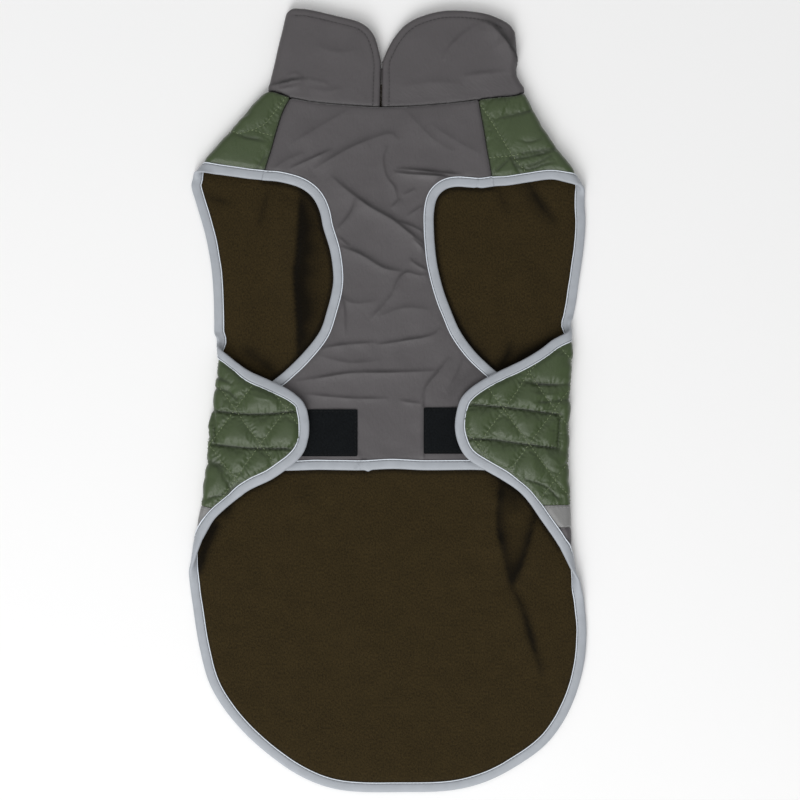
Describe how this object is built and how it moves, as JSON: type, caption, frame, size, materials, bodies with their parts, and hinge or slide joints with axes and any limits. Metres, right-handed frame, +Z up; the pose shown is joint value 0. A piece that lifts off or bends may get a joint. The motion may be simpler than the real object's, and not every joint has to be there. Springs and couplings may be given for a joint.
{
  "type": "dog winter coat",
  "caption": "Padded dog coat laid flat, belly side up: quilted back with wings fastened over the chest, fleece lining, leg holes, bound edges and a stand collar.",
  "frame": {"origin": "middle of the coat's base box, on the surface that it lies on", "axes": "+Y from tail to collar, +Z up through the layers, +X to the right of the coat as it is seen from above"},
  "size_m": [0.3204, 0.6274, 0.0176],
  "materials": {
    "green_quilted_nylon": "soft sheen",
    "grey_nylon": "soft sheen",
    "reflective_tape": "satin",
    "brown_fleece": "matt nap",
    "collar_plush": "matt pile",
    "hook_and_loop_tape": "matt",
    "silver_binding": "satin"
  },
  "bodies": {
    "root": {"shell_quilted": "green_quilted_nylon", "reflective_tape": "reflective_tape", "shell_tail": "grey_nylon", "lining_fleece": "brown_fleece", "chest_panel": "grey_nylon", "collar_shell": "grey_nylon", "collar_plush": "collar_plush", "hook_tape_left": "hook_and_loop_tape", "hook_tape_right": "hook_and_loop_tape", "loop_tape_left": "hook_and_loop_tape", "loop_tape_right": "hook_and_loop_tape", "binding_armhole_left": "silver_binding", "binding_armhole_right": "silver_binding", "binding_wing_left_top": "silver_binding", "binding_wing_left_side": "silver_binding", "binding_wing_right_top": "silver_binding", "binding_wing_right_side": "silver_binding", "binding_hem": "silver_binding", "binding_chest_left": "silver_binding", "binding_chest_hem": "silver_binding", "binding_chest_right": "silver_binding"}
  },
  "joints": []
}
